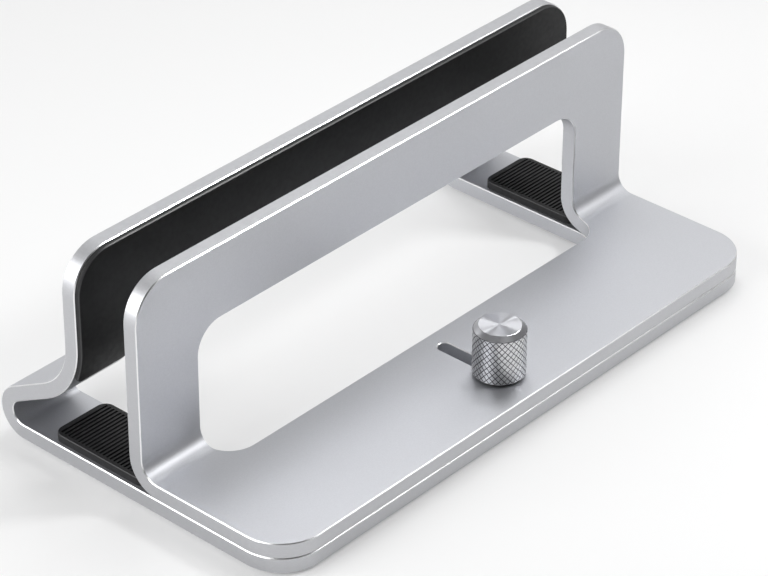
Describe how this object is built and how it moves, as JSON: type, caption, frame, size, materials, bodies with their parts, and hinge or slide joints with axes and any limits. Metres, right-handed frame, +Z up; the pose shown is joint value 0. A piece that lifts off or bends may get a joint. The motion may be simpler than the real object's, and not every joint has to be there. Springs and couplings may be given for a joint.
{
  "type": "vertical laptop stand",
  "caption": "Folded aluminium stand that holds a closed laptop upright between a fixed rear wall and a sliding front jaw clamped by a thumbscrew.",
  "frame": {"origin": "centre of the footprint, on the surface that the stand rests on, at the jaw's narrowest setting", "axes": "+X along the walls, -Y towards the thumbscrew side, +Z up"},
  "size_m": [0.2, 0.1052, 0.0679],
  "materials": {
    "anodised_aluminium": "satin",
    "turned_aluminium": "turned and knurled",
    "black_silicone": "matte",
    "black_nylon": "matte",
    "insert_steel": "plated"
  },
  "bodies": {
    "base": {"base_frame": "anodised_aluminium", "thread_insert": "insert_steel", "rear_wall_pad": "black_silicone", "rail_pad_left": "black_silicone", "rail_pad_right": "black_silicone", "foot_front_left": "black_silicone", "foot_front_right": "black_silicone", "foot_rear_left": "black_silicone", "foot_rear_right": "black_silicone"},
    "jaw": {"front_jaw": "anodised_aluminium", "front_wall_pad": "black_silicone"},
    "thumbscrew": {"clamp_washer": "black_nylon", "thumbscrew_stud": "insert_steel", "thumbscrew_knob": "turned_aluminium"}
  },
  "joints": [
    {"name": "jaw_slide", "type": "slide", "parent": "base", "child": "jaw", "axis": [0, -1, 0], "range_m": [0, 0.0195]},
    {"name": "thumbscrew_turn", "type": "hinge", "parent": "base", "child": "thumbscrew", "pos_m": [0, -0.0393, 0.018], "axis": [0, 0, 1], "range_deg": [0, 540]}
  ]
}
